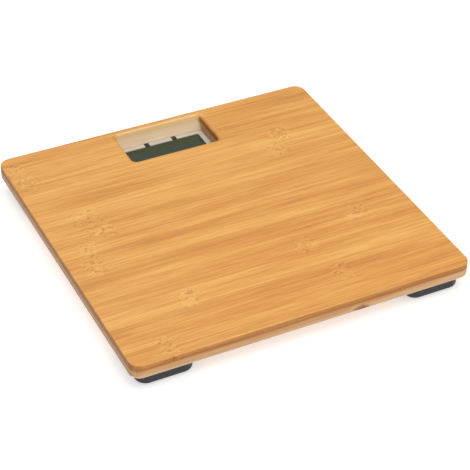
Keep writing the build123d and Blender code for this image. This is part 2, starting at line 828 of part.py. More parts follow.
def coin_cell():
    """A flat coin cell: the can with a slightly smaller lid on top."""
    at = (battery_x, battery_y)
    can = rod(coin_radius, coin_bottom, coin_top - coin_edge, at)
    can = fillet(edges_at(can, coin_bottom), 0.3)
    lid = rod(coin_radius - 1.2, coin_top - coin_edge, coin_top, at)
    return can + lid


def positive_contact():
    """A leaf against the can's side, with a tab to the circuit board."""
    outer = battery_x - coin_radius - 0.02
    half = contact_width / 2
    leaf = block(outer - contact_thickness, outer, battery_y - half, battery_y + half, coin_bottom + 0.4,
                 board_top + contact_thickness)
    tab = block(board_bay_right - 3.0, outer, battery_y - half, battery_y + half, board_top,
                board_top + contact_thickness)
    return leaf + tab


def negative_contact():
    """A strip over the cell's lid, with a leg down to the circuit board."""
    half = contact_width / 2
    reach = board_strip + 2.5
    strip = block(battery_x - half, battery_x + half, battery_y - coin_radius * 0.6, reach, coin_top,
                  coin_top + contact_thickness)
    leg = block(battery_x - half, battery_x + half, reach - contact_thickness, reach, board_top,
                coin_top + contact_thickness)
    return strip + leg


def battery_cap():
    """A round cap with two lugs that lock behind the cover, and a slot for turning it with a coin."""
    at = (battery_x, battery_y)
    cap = rod(cap_radius, case_bottom, cover_top, at)
    cap = fillet(edges_at(cap, case_bottom), 0.3)
    core_top = cover_top + cap_core_height
    cap = cap + rod(cap_radius - 1.0, cover_top, core_top, at)
    for middle in (0.0, 180.0):
        cap = cap + ring_sector(cap_radius - 2.0, cap_radius + lug_reach, lug_angle, middle,
                                cover_top + cap_axial_gap, core_top, at)
    half_length = coin_slot_length / 2
    half_width = coin_slot_width / 2
    cap = cap - block(battery_x - half_length, battery_x + half_length, battery_y - half_width,
                      battery_y + half_width, case_bottom - 1, case_bottom + coin_slot_depth)
    return cap


# ------------------------------------------------------------------ every node
nodes = {
    "upper_ply": upper_ply(),
    "lower_ply": lower_ply(),
    "display_housing": display_housing(),
    "bottom_cover": bottom_cover(),
    "housing_screws": housing_screws(),
    "cover_screws": cover_screws(),
    "board_screws": board_screws(),
    "carrier_screws": carrier_screws(),
    "lead_clips": lead_clips(),
    "lcd_frame": lcd_frame(),
    "display_window": display_window(),
    "lcd_front_glass": lcd_front_glass(),
    "lcd_rear_glass": lcd_rear_glass(),
    "zebra_connector": zebra_connector(),
    "circuit_board": circuit_board(),
    "controller_blob": controller_blob(),
    "board_components": board_components(),
    "unit_switch": unit_switch(),
    "switch_plunger": switch_plunger(),
    "unit_button": unit_button(),
    "battery_holder": battery_holder(),
    "coin_cell": coin_cell(),
    "positive_contact": positive_contact(),
    "negative_contact": negative_contact(),
    "battery_cap": battery_cap(),
}
for corner_name in feet:
    nodes["foot_shoe_" + corner_name] = foot_shoe(corner_name)
    nodes["foot_pad_" + corner_name] = foot_pad(corner_name)
    nodes["cell_carrier_" + corner_name] = cell_carrier(corner_name)
    nodes["load_cell_" + corner_name] = load_cell(corner_name)
    nodes["strain_gauge_" + corner_name] = strain_gauge(corner_name)
    nodes["sensor_lead_" + corner_name] = sensor_lead(corner_name)

os.makedirs("parts", exist_ok=True)
for node_name, shape in nodes.items():
    export_step(shape, "parts/" + node_name + ".step")
    print(node_name, len(shape.solids()), round(shape.volume, 1))
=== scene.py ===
# %% [markdown]
# # A bamboo bathroom scale
# A square bamboo board stands on four feet and has a small display sunk into its rear edge.
# The measured model of every part is already packed: this lesson gives those parts their finish,
# adds the small pieces that a maker adds last, and sets up a studio.
# Everything is in metres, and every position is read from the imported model.

import json
import math

import bpy
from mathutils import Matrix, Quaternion, Vector


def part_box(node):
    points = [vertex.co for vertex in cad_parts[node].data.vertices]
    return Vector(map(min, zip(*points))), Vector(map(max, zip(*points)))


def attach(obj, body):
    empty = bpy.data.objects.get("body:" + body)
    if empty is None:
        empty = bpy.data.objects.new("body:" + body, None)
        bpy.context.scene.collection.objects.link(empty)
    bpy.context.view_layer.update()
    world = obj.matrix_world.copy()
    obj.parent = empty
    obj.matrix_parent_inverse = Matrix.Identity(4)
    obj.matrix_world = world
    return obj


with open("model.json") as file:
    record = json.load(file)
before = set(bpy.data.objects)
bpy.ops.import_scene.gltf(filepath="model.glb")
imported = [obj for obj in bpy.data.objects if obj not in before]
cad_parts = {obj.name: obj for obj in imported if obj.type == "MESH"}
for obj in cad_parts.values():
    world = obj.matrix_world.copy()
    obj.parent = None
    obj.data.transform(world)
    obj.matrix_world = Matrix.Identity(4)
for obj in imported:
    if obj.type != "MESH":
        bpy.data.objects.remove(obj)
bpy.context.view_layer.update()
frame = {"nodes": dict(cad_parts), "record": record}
bpy.ops.object.select_all(action="DESELECT")
board_low, board_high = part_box("upper_ply")
under_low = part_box("lower_ply")[0]
print("board:", [round(1000 * (high - low), 1) for low, high in zip(board_low, board_high)], "mm")

# %% [markdown]
# ## The camera
# A product picture is taken from well above and from one corner, with a long lens that keeps the
# sides of the board nearly parallel. A camera can be turned by three angles, but it is easier to
# give the place that it looks at: the direction is then the difference of two points.
# The last turn is a small roll about the line of sight.

# %% Set up the camera
camera_place = Vector((-0.45766, -0.92913, 0.79143))
camera_target = Vector((-0.0002, -0.01714, 0.011))
camera_roll = math.radians(0.855)

bpy.ops.object.camera_add(location=camera_place)
camera = bpy.context.object
camera.name = "studio_camera"
camera.data.lens = 125.23
camera.data.sensor_width = 36.0
line_of_sight = (camera_target - camera_place).to_track_quat("-Z", "Y")
camera.rotation_mode = "QUATERNION"
camera.rotation_quaternion = line_of_sight @ Quaternion((0, 0, 1), camera_roll)
bpy.context.scene.camera = camera
print("camera distance:", round((camera_target - camera_place).length, 3), "m")

# %% [markdown]
# ## Node helpers
# A material is a small graph. Writing one in Python takes three steps again and again: add a
# node, feed its sockets with a number or with another node's output, and pass its result on.
# The helpers below do those steps, so that each material further down reads as a recipe.

# %% Helpers that build node graphs
def put(tree, kind, **settings):
    node = tree.nodes.new(kind)
    for name, value in settings.items():
        setattr(node, name, value)
    return node


def feed(tree, socket, value):
    if isinstance(value, bpy.types.NodeSocket):
        tree.links.new(value, socket)
    else:
        socket.default_value = value


def calc(tree, operation, *values):
    node = put(tree, "ShaderNodeMath", operation=operation)
    for socket, value in zip(node.inputs, values):
        feed(tree, socket, value)
    return node.outputs[0]


def stretch(tree, vector, scale):
    node = put(tree, "ShaderNodeVectorMath", operation="MULTIPLY")
    feed(tree, node.inputs[0], vector)
    feed(tree, node.inputs[1], scale)
    return node.outputs[0]


def noise(tree, vector, detail=2.0, roughness=0.5):
    node = put(tree, "ShaderNodeTexNoise")
    feed(tree, node.inputs["Vector"], vector)
    feed(tree, node.inputs["Scale"], 1.0)
    feed(tree, node.inputs["Detail"], detail)
    feed(tree, node.inputs["Roughness"], roughness)
    return node.outputs[0]


def ease(tree, value, start, end, low=0.0, high=1.0):
    node = put(tree, "ShaderNodeMapRange", interpolation_type="SMOOTHSTEP")
    for label, number in zip(("Value", "From Min", "From Max", "To Min", "To Max"),
                             (value, start, end, low, high)):
        feed(tree, node.inputs[label], number)
    return node.outputs[0]


def blend_colours(tree, share, first, second, mode="MIX"):
    node = put(tree, "ShaderNodeMix", data_type="RGBA", blend_type=mode)
    feed(tree, node.inputs[0], share)
    feed(tree, node.inputs[6], first)
    feed(tree, node.inputs[7], second)
    return node.outputs[2]


def millimetres(tree):
    place = put(tree, "ShaderNodeTexCoord").outputs["Object"]
    return stretch(tree, place, (1000.0, 1000.0, 1000.0))


def new_group(name, inputs, outputs):
    tree = bpy.data.node_groups.new(name, "ShaderNodeTree")
    for label, kind, value in inputs:
        socket = tree.interface.new_socket(label, in_out="INPUT", socket_type="NodeSocket" + kind)
        socket.default_value = value
    for label, kind in outputs:
        tree.interface.new_socket(label, in_out="OUTPUT", socket_type="NodeSocket" + kind)
    return tree, put(tree, "NodeGroupInput").outputs, put(tree, "NodeGroupOutput").inputs


def use_group(tree, group, **values):
    node = put(tree, "ShaderNodeGroup", node_tree=group)
    for label, value in values.items():
        feed(tree, node.inputs[label.replace("_", " ")], value)
    return node.outputs


def new_material(name):
    material = bpy.data.materials.new(name)
    material.use_nodes = True
    shader = material.node_tree.nodes["Principled BSDF"]
    return material, material.node_tree, shader


def linear(red, green, blue):
    parts = []
    for part in (red, green, blue):
        part = part / 255.0
        parts.append(part / 12.92 if part <= 0.04045 else ((part + 0.055) / 1.055) ** 2.4)
    return (*parts, 1.0)


def raise_bump(tree, shader, height, distance, strength=1.0):
    bump = put(tree, "ShaderNodeBump")
    feed(tree, bump.inputs["Height"], height)
    feed(tree, bump.inputs["Distance"], distance)
    feed(tree, bump.inputs["Strength"], strength)
    tree.links.new(bump.outputs["Normal"], shader.inputs["Normal"])


# %% [markdown]
# ## The floor and the light
# The board stands on white paper between two large soft lamps. The stronger one hangs in front and
# above, and lights the near side. The weaker one hangs behind, and its blurred mirror image in
# the lacquer is the pale sheen on the far half of the board. Large lamps give soft shadows, and
# the paper glows a little, so that the shadow beside the board stays as pale as in a white tent.
# The paper's back face is clear, so the underside of the model can be looked at through it. It
# lies a twentieth of a millimetre low, because two surfaces in one plane flicker in a render.

# %% Lay the floor
FLOOR_SIZE = 24.0
FLOOR_LEVEL = -0.00005
PAPER_GLOW = 0.55
bpy.ops.mesh.primitive_plane_add(size=FLOOR_SIZE, location=(0, 0, FLOOR_LEVEL))
floor = bpy.context.object
floor.name = "studio_floor"
paper, tree, shader = new_material("white_paper")
paper_place = put(tree, "ShaderNodeTexCoord").outputs["Object"]
paper_fleck = noise(tree, stretch(tree, paper_place, (900.0, 900.0, 900.0)), 3.0)
paper_tone = blend_colours(tree, paper_fleck, linear(206, 205, 204), linear(210, 210, 209))
feed(tree, shader.inputs["Base Color"], paper_tone)
shader.inputs["Emission Color"].default_value = (1.0, 1.0, 1.0, 1.0)
shader.inputs["Emission Strength"].default_value = PAPER_GLOW
shader.inputs["Roughness"].default_value = 0.9
clear_back = put(tree, "ShaderNodeBsdfTransparent")
from_below = put(tree, "ShaderNodeMixShader")
feed(tree, from_below.inputs[0], put(tree, "ShaderNodeNewGeometry").outputs["Backfacing"])
tree.links.new(shader.outputs[0], from_below.inputs[1])
tree.links.new(clear_back.outputs[0], from_below.inputs[2])
tree.links.new(from_below.outputs[0], tree.nodes["Material Output"].inputs["Surface"])
floor.data.materials.append(paper)
print("floor at z =", floor.location.z)

# %% Hang the lamps
LAMP_TINT = (1.0, 0.99, 0.97)


def hang_lamp(name, place, width, depth, power):
    bpy.ops.object.light_add(type="AREA", location=place)
    lamp = bpy.context.object
    lamp.name = name
    lamp.data.shape = "RECTANGLE"
    lamp.data.size = width
    lamp.data.size_y = depth
    lamp.data.energy = power
    lamp.data.color = LAMP_TINT
    aim = -Vector(place)
    lamp.rotation_mode = "QUATERNION"
    lamp.rotation_quaternion = aim.to_track_quat("-Z", "Y")
    print(name, power, "W")


hang_lamp("front_softbox", (0.28, -0.60, 1.22), 0.95, 0.90, 7.9)
hang_lamp("rear_softbox", (-0.25, 0.50, 1.30), 1.2, 1.2, 8.0)

world = bpy.data.worlds.new("studio_air")
bpy.context.scene.world = world
world.use_nodes = True
tree = world.node_tree
air = tree.nodes["Background"]
direction = put(tree, "ShaderNodeSeparateXYZ")
feed(tree, direction.inputs[0], put(tree, "ShaderNodeTexCoord").outputs["Generated"])
air.inputs["Color"].default_value = (1.0, 1.0, 1.0, 1.0)
feed(tree, air.inputs["Strength"], ease(tree, direction.outputs[2], 0.0, 0.6, 0.12, 0.55))
bpy.context.scene.view_settings.view_transform = "Standard"

# %% [markdown]
# ## Bamboo
# A bamboo board is glued from flat strips about 20 mm wide. Along each strip run thousands of
# fibres, pale and dark, and about every 300 mm the stalk had a knuckle, where the fibres tangle
# into a short pale patch with dark ragged specks. So the pattern has three scales, all of them
# stretched along the strip, and the knuckles stand where a small table puts them.
# A picture of bamboo would do it too, but nodes stay sharp in a close view, and because they
# are solid textures the end of each strip shows the cut ends of the same fibres.

# %% The fibre group
fibres, given, result = new_group(
    "bamboo_fibres",
    [("Place", "Vector", (0, 0, 0)), ("Shift", "Float", 0.0)],
    [("Broad", "Float"), ("Streak", "Float"), ("Line", "Float"), ("Hair", "Float")],
)
moved = put(fibres, "ShaderNodeVectorMath", operation="ADD")
offset = put(fibres, "ShaderNodeCombineXYZ")
feed(fibres, offset.inputs[0], calc(fibres, "MULTIPLY", given["Shift"], 61.0))
feed(fibres, offset.inputs[1], calc(fibres, "MULTIPLY", given["Shift"], 17.3))
feed(fibres, offset.inputs[2], given["Shift"])
feed(fibres, moved.inputs[0], given["Place"])
feed(fibres, moved.inputs[1], offset.outputs[0])
along = moved.outputs[0]
feed(fibres, result["Broad"], noise(fibres, stretch(fibres, along, (0.008, 0.085, 0.10)), 2.0))
feed(fibres, result["Streak"], noise(fibres, stretch(fibres, along, (0.012, 0.42, 0.42)), 3.0, 0.6))
feed(fibres, result["Line"], noise(fibres, stretch(fibres, along, (0.014, 0.95, 0.95)), 2.0, 0.55))
feed(fibres, result["Hair"], noise(fibres, stretch(fibres, along, (0.05, 3.4, 3.4)), 2.0, 0.6))
print("fibre group:", len(fibres.nodes), "nodes")

# %% [markdown]
# The strips are numbered from the front edge. A colour ramp with hard steps works as a table:
# its position is the strip, its red is where the knuckle lies along the strip, its green is how
# long the knuckle is, and its blue is how light the strip is. One node thus holds every strip.

# %% The strip group
STRIP_PITCH = 20.6
STRIP_START = -138.2
STRIP_COUNT = 14
KNUCKLE_SPAN = 320.0
KNUCKLE_SCALE = 40.0


def strip_group(name, knuckles):
    tree, given, result = new_group(
        name,
        [("Place", "Vector", (0, 0, 0))],
        [("Tone", "Float"), ("Seam", "Float"), ("Knuckle", "Float"), ("Speck", "Float")],
    )
    split = put(tree, "ShaderNodeSeparateXYZ")
    feed(tree, split.inputs[0], given["Place"])
    strips = calc(tree, "DIVIDE", calc(tree, "SUBTRACT", split.outputs[1], STRIP_START), STRIP_PITCH)
    table = put(tree, "ShaderNodeValToRGB")
    table.color_ramp.interpolation = "CONSTANT"
    stops = table.color_ramp.elements
    for number, (middle, length, tone) in enumerate(knuckles):
        stop = stops[0] if number == 0 else stops.new(number / STRIP_COUNT)
        stop.position = number / STRIP_COUNT
        stop.color = (middle / KNUCKLE_SPAN + 0.5, length / KNUCKLE_SCALE, tone, 1.0)
    stops.remove(stops[len(stops) - 1])
    feed(tree, table.inputs[0], calc(tree, "DIVIDE", strips, STRIP_COUNT))
    cell = put(tree, "ShaderNodeSeparateColor")
    tree.links.new(table.outputs[0], cell.inputs[0])
    middle = calc(tree, "MULTIPLY", calc(tree, "SUBTRACT", cell.outputs[0], 0.5), KNUCKLE_SPAN)
    ragged = noise(tree, stretch(tree, given["Place"], (0.05, 0.35, 0.35)), 3.0, 0.6)
    ragged = calc(tree, "MULTIPLY", calc(tree, "SUBTRACT", ragged, 0.5), 22.0)
    away = calc(tree, "SUBTRACT", calc(tree, "ADD", split.outputs[0], ragged), middle)
    half_length = calc(tree, "MULTIPLY", cell.outputs[1], KNUCKLE_SCALE)
    away = calc(tree, "DIVIDE", calc(tree, "ABSOLUTE", away), half_length)
    across = calc(tree, "ABSOLUTE", calc(tree, "SUBTRACT", calc(tree, "FRACT", strips), 0.5))
    inside = calc(tree, "MULTIPLY", ease(tree, away, 1.25, 0.45), ease(tree, across, 0.5, 0.40))
    curl = noise(tree, stretch(tree, given["Place"], (0.32, 0.42, 0.4)), 3.0, 0.65)
    feed(tree, result["Tone"], cell.outputs[2])
    feed(tree, result["Seam"], ease(tree, across, 0.490, 0.4985))
    feed(tree, result["Knuckle"], inside)
    feed(tree, result["Speck"], calc(tree, "MULTIPLY", ease(tree, curl, 0.53, 0.60), inside))
    return tree


TOP_STRIPS = [
    (-108, 9, 0.42), (46, 9, 0.40), (-71, 8, 0.60), (36, 10, 0.44), (92, 11, 0.40),
    (-121, 9, 0.55), (-117, 7, 0.50), (-98, 14, 0.52), (-104, 12, 0.60), (75, 8, 0.52),
    (88, 10, 0.62), (-130, 11, 0.50), (-134, 10, 0.46), (150, 5, 0.52),
]
UNDER_STRIPS = [
    (44, 9, 0.50), (-92, 10, 0.42), (70, 8, 0.58), (-18, 9, 0.46), (118, 9, 0.52),
    (-60, 8, 0.40), (24, 10, 0.55), (-124, 9, 0.48), (96, 8, 0.44), (-30, 10, 0.57),
    (62, 9, 0.43), (-80, 8, 0.52), (8, 9, 0.47), (104, 8, 0.50),
]
top_strips = strip_group("top_board_strips", TOP_STRIPS)
under_strips = strip_group("under_board_strips", UNDER_STRIPS)
print("strips across the board:", STRIP_COUNT)

# %% [markdown]
# The wood colour is a ramp from a brown fibre to a pale one. The strip's own tone and the broad
# pattern choose a place on the ramp, the streaks push it to and fro, and the finest lines darken
# it a little. A satin lacquer lies on top: fairly smooth, and rougher in the open grain.
# The two layers of the board are cut from different stalks, so the lower one is paler and greyer.
# One group tells the cut faces apart by their normal and place: the ends of the strips, the long
# sides, the glue line, and one dark natural flaw in the front edge. It also carries two marks of
# painted light: a painted highlight on the pocket wall that faces the front lamp, and the lowest
# band of the outer faces, painted pale on the front and back as if lit by the white floor, and
# made darker towards the bottom on the ends.

# %% The cut faces of the board
faces, given, result = new_group(
    "board_faces",
    [("Place", "Vector", (0, 0, 0)), ("Normal", "Vector", (0, 0, 1))],
    [("End", "Float"), ("Side", "Float"), ("Glue", "Float"), ("Flaw", "Float"), ("Pore", "Float"),
     ("Upright", "Float"), ("PaintedHighlight", "Float"), ("Low", "Float")],
)
GLUE_LEVEL = 1000 * board_low[2]
OUTER_BAND = 1000 * board_high[1] - 5.0
FLAW_PLACE = (44.0, -1000 * board_high[1], 13.5)
FLAW_SIZE = (10.0, 3.0, 4.5)
facing = put(faces, "ShaderNodeSeparateXYZ")
feed(faces, facing.inputs[0], given["Normal"])
feed(faces, result["End"], ease(faces, calc(faces, "ABSOLUTE", facing.outputs[0]), 0.75, 0.97))
spot = put(faces, "ShaderNodeSeparateXYZ")
feed(faces, spot.inputs[0], given["Place"])
reach = calc(faces, "MAXIMUM", *[calc(faces, "ABSOLUTE", spot.outputs[axis]) for axis in (0, 1)])
outer = ease(faces, reach, OUTER_BAND, OUTER_BAND + 3.0)
upright = ease(faces, calc(faces, "ABSOLUTE", facing.outputs[2]), 0.55, 0.10)
feed(faces, result["Upright"], upright)
feed(faces, result["Side"], calc(faces, "MULTIPLY", upright, outer))
inner = calc(faces, "SUBTRACT", 1.0, outer)
# painted highlight: inner faces turned towards the front lamp, that is the wall behind the display,
# get a paler colour
to_front = ease(faces, facing.outputs[1], -0.30, -0.85)
feed(faces, result["PaintedHighlight"], calc(faces, "MULTIPLY", inner, to_front))
# the lowest band of the outer faces: painted floor light on the front and back, darker towards the
# bottom on the ends
feed(faces, result["Low"], calc(faces, "MULTIPLY", outer, ease(faces, spot.outputs[2], 15.5, 11.5)))
from_glue = calc(faces, "ABSOLUTE", calc(faces, "SUBTRACT", spot.outputs[2], GLUE_LEVEL))
glue = ease(faces, from_glue, 3.0, 0.0)
feed(faces, result["Glue"], calc(faces, "MULTIPLY", glue, upright))
from_flaw = put(faces, "ShaderNodeVectorMath", operation="SUBTRACT")
feed(faces, from_flaw.inputs[0], given["Place"])
feed(faces, from_flaw.inputs[1], FLAW_PLACE)
flaw_space = put(faces, "ShaderNodeVectorMath", operation="LENGTH")
flaw_shrink = tuple(1.0 / size for size in FLAW_SIZE)
feed(faces, flaw_space.inputs[0], stretch(faces, from_flaw.outputs[0], flaw_shrink))
flaw_edge = noise(faces, stretch(faces, given["Place"], (0.10, 0.5, 0.5)), 4.0, 0.65)
flaw_edge = calc(faces, "ADD", flaw_space.outputs["Value"], calc(faces, "MULTIPLY", flaw_edge, 1.4))
feed(faces, result["Flaw"], ease(faces, flaw_edge, 1.55, 1.0))
pores = put(faces, "ShaderNodeTexVoronoi", feature="F1")
feed(faces, pores.inputs["Vector"], stretch(faces, given["Place"], (0.02, 1.1, 1.1)))
feed(faces, pores.inputs["Scale"], 1.0)
feed(faces, result["Pore"], ease(faces, pores.outputs["Distance"], 0.42, 0.18))


# %% Bamboo finishes
KNUCKLE_SWIRL = 14.0


def pull(tree, level, value, share):
    push = calc(tree, "MULTIPLY", calc(tree, "SUBTRACT", value, 0.5), share)
    return calc(tree, "ADD", level, push)


def bamboo(name, strips, shift, tones, side_tint, end_tone, painted_highlight_tone):
    dark, middle, light, speck_colour = tones
    material, tree, shader = new_material(name)
    place = millimetres(tree)
    strip = use_group(tree, strips, Place=place)
    swirl = noise(tree, stretch(tree, place, (0.09, 0.16, 0.16)), 2.0)
    bend = calc(tree, "MULTIPLY", calc(tree, "SUBTRACT", swirl, 0.5), strip["Knuckle"])
    lift = put(tree, "ShaderNodeCombineXYZ")
    feed(tree, lift.inputs[1], calc(tree, "MULTIPLY", bend, KNUCKLE_SWIRL))
    curved = put(tree, "ShaderNodeVectorMath", operation="ADD")
    feed(tree, curved.inputs[0], place)
    feed(tree, curved.inputs[1], lift.outputs[0])
    fibre = use_group(tree, fibres, Place=curved.outputs[0], Shift=shift)
    level = pull(tree, 0.5, strip["Tone"], 0.35)
    level = pull(tree, level, fibre["Broad"], 0.54)
    level = pull(tree, level, fibre["Streak"], 0.52)
    level = pull(tree, level, fibre["Line"], 0.56)
    level = pull(tree, level, fibre["Hair"], 0.62)
    level = calc(tree, "ADD", level, calc(tree, "MULTIPLY", strip["Knuckle"], 0.06))
    ramp = put(tree, "ShaderNodeValToRGB")
    stops = ramp.color_ramp.elements
    stops[0].position = 0.20
    stops[0].color = dark
    stops[1].position = 0.80
    stops[1].color = light
    stops.new(0.5).color = middle
    feed(tree, ramp.inputs[0], level)
    speck_share = calc(tree, "MULTIPLY", strip["Speck"], 0.5)
    colour = blend_colours(tree, speck_share, ramp.outputs[0], speck_colour)
    colour = blend_colours(tree, calc(tree, "MULTIPLY", strip["Seam"], 0.30), colour, dark)
    normal = put(tree, "ShaderNodeTexCoord").outputs["Normal"]
    face = use_group(tree, faces, Place=place, Normal=normal)
    tinted = blend_colours(tree, 1.0, colour, side_tint, "MULTIPLY")
    colour = blend_colours(tree, face["Side"], colour, tinted)
    cut = blend_colours(tree, calc(tree, "MULTIPLY", fibre["Broad"], 0.4), end_tone, colour)
    cut = blend_colours(tree, calc(tree, "MULTIPLY", face["Pore"], 0.35), cut, speck_colour)
    colour = blend_colours(tree, face["End"], colour, cut)
    # painted highlight: the wall behind the display, which faces the front lamp, is pulled 30% towards
    # a pale cream
    highlighted_wall = blend_colours(tree, 0.30, painted_highlight_tone, colour)
    colour = blend_colours(tree, face["PaintedHighlight"], colour, highlighted_wall)
    # painted light: the low outer band turns pale on the front and back as if lit by the white floor,
    # and darker on the ends
    painted_low_edge = blend_colours(tree, face["End"], LOW_FRONT_FLOOR_LIGHT_TONE, LOW_END_TONE)
    colour = blend_colours(tree, calc(tree, "MULTIPLY", face["Low"], 0.70), colour, painted_low_edge)
    joint = blend_colours(tree, 1.0, colour, GLUE_TINT, "MULTIPLY")
    colour = blend_colours(tree, face["Glue"], colour, joint)
    colour = blend_colours(tree, calc(tree, "MULTIPLY", face["Flaw"], 0.75), colour, speck_colour)
    feed(tree, shader.inputs["Base Color"], colour)
    gloss = pull(tree, 0.44, fibre["Hair"], -0.22)
    gloss = calc(tree, "ADD", gloss, calc(tree, "MULTIPLY", strip["Knuckle"], 0.04))
    gloss = calc(tree, "ADD", gloss, calc(tree, "MULTIPLY", face["Upright"], 0.22))
    feed(tree, shader.inputs["Roughness"], gloss)
    lacquer = calc(tree, "SUBTRACT", 0.55, calc(tree, "MULTIPLY", face["Upright"], 0.47))
    feed(tree, shader.inputs["Coat Weight"], lacquer)
    shader.inputs["Coat Roughness"].default_value = 0.17
    height = calc(tree, "MULTIPLY", fibre["Line"], 0.5)
    height = calc(tree, "ADD", height, calc(tree, "MULTIPLY", fibre["Hair"], 0.35))
    height = calc(tree, "SUBTRACT", height, calc(tree, "MULTIPLY", strip["Seam"], 0.5))
    height = calc(tree, "SUBTRACT", height, calc(tree, "MULTIPLY", strip["Speck"], 0.5))
    open_pores = calc(tree, "MULTIPLY", face["Pore"], face["End"])
    height = calc(tree, "SUBTRACT", height, calc(tree, "MULTIPLY", open_pores, 0.6))
    raise_bump(tree, shader, height, 0.00005, 0.6)
    return material


finish = {}
GLUE_TINT = (0.80, 0.70, 0.58, 1.0)
# painted light: the pale tone of the low front and back band stands in for light from the white floor;
# the end tone darkens that band on the ends
LOW_FRONT_FLOOR_LIGHT_TONE = linear(208, 188, 162)
LOW_END_TONE = linear(96, 80, 64)
UPPER_TONES = (linear(190, 116, 38), linear(218, 152, 64), linear(240, 184, 96), linear(160, 88, 32))
LOWER_TONES = (linear(180, 124, 72), linear(211, 160, 105), linear(232, 190, 138), linear(124, 70, 36))
# The last argument of each finish is its painted highlight tone for the wall behind the display.
finish["bamboo_upper"] = bamboo("bamboo_upper", top_strips, 3.0, UPPER_TONES,
                                (0.72, 0.62, 0.52, 1.0), linear(146, 88, 24), linear(255, 224, 164))
finish["bamboo_lower"] = bamboo("bamboo_lower", under_strips, 11.0, LOWER_TONES,
                                (0.98, 0.96, 0.94, 1.0), linear(182, 138, 94), linear(255, 236, 204))
print("bamboo finishes:", sorted(finish))

# %% [markdown]
# ## Moulded plastic, metal and rubber
# A moulded case has a fine spark-eroded texture, a smooth button has none, and a rubber pad is
# dull with a dusting where it meets the floor. One group makes the texture of all of them. It
# puts out a height for the bump, a mask for the dust and a mask for gloss, and each material
# chooses how strongly it uses them.

# %% The moulded texture group
moulded, given, result = new_group(
    "moulded_texture",
    [("Place", "Vector", (0, 0, 0)), ("Grain", "Float", 0.3)],
    [("Height", "Float"), ("Gloss", "Float"), ("Dust", "Float")],
)
grains = put(moulded, "ShaderNodeVectorMath", operation="SCALE")
feed(moulded, grains.inputs[0], given["Place"])
feed(moulded, grains.inputs["Scale"], calc(moulded, "DIVIDE", 1.0, given["Grain"]))
feed(moulded, result["Height"], noise(moulded, grains.outputs[0], 2.0, 0.6))
handled = stretch(moulded, given["Place"], (0.05, 0.05, 0.05))
feed(moulded, result["Gloss"], noise(moulded, handled, 3.0, 0.6))
cloud = noise(moulded, stretch(moulded, given["Place"], (0.09, 0.09, 0.12)), 5.0, 0.7)
feed(moulded, result["Dust"], ease(moulded, cloud, 0.50, 0.72))


def plastic(name, colour, dust_colour, grain, roughness, bump, dust=0.15, coat=0.0):
    material, tree, shader = new_material(name)
    skin = use_group(tree, moulded, Place=millimetres(tree), Grain=grain)
    feed(tree, shader.inputs["Base Color"],
         blend_colours(tree, calc(tree, "MULTIPLY", skin["Dust"], dust), colour, dust_colour))
    vary = calc(tree, "MULTIPLY", calc(tree, "SUBTRACT", skin["Gloss"], 0.5), 0.25)
    vary = calc(tree, "ADD", vary, calc(tree, "MULTIPLY", skin["Dust"], dust))
    feed(tree, shader.inputs["Roughness"], calc(tree, "ADD", roughness, vary))
    shader.inputs["Coat Weight"].default_value = coat
    shader.inputs["Coat Roughness"].default_value = 0.1
    raise_bump(tree, shader, skin["Height"], bump)
    return material


BLACK = (0.017, 0.016, 0.017, 1.0)
DUST = (0.16, 0.15, 0.14, 1.0)
# Each row: colour, dust colour, grain in mm, roughness, bump height in m, dust share, lacquer.
PLASTICS = {
    "black_case": ((0.022, 0.022, 0.023, 1.0), DUST, 0.35, 0.50, 0.00003),
    "black_foot": (BLACK, DUST, 0.30, 0.42, 0.00002),
    "foot_rubber": ((0.028, 0.027, 0.027, 1.0), DUST, 0.5, 0.8, 0.00004, 0.4),
    "carrier_plastic": ((0.03, 0.03, 0.03, 1.0), DUST, 0.4, 0.55, 0.00003),
    "switch_body": ((0.02, 0.02, 0.02, 1.0), DUST, 0.2, 0.4, 0.00001),
    "switch_plunger": ((0.30, 0.05, 0.03, 1.0), DUST, 0.2, 0.4, 0.00001),
    "grey_button": (linear(120, 122, 124), linear(90, 88, 86), 0.3, 0.42, 0.00001),
    "frame_grey": (linear(196, 186, 172), linear(156, 148, 138), 0.3, 0.45, 0.00001),
    "clip_plastic": (linear(214, 208, 194), linear(170, 164, 150), 0.3, 0.5, 0.00002),
    "lead_jacket": (linear(52, 52, 54), DUST, 0.4, 0.5, 0.00002),
    "zebra_rubber": (linear(196, 160, 170), linear(60, 55, 60), 0.3, 0.6, 0.00002),
    "resin": ((0.012, 0.012, 0.013, 1.0), DUST, 2.0, 0.22, 0.0001, 0.05, 0.6),
    "component_body": (linear(92, 70, 52), DUST, 0.3, 0.45, 0.00002),
    "gauge_seal": (linear(226, 224, 216), linear(180, 176, 160), 1.5, 0.35, 0.0001),
    "lcd_back": (linear(96, 100, 88), linear(70, 72, 64), 0.6, 0.4, 0.00001),
    "board_green": (linear(26, 92, 52), linear(70, 110, 60), 0.6, 0.35, 0.00002, 0.2, 0.3),
}
for name, values in PLASTICS.items():
    finish[name] = plastic(name, *values)
print("plastic finishes:", len(PLASTICS))

# %% [markdown]
# Metal is not one grey. Rolled steel shows fine lines along the sheet, a plated screw shows
# small clouds of blue and yellow, and both are rougher where fingers and tools have been.

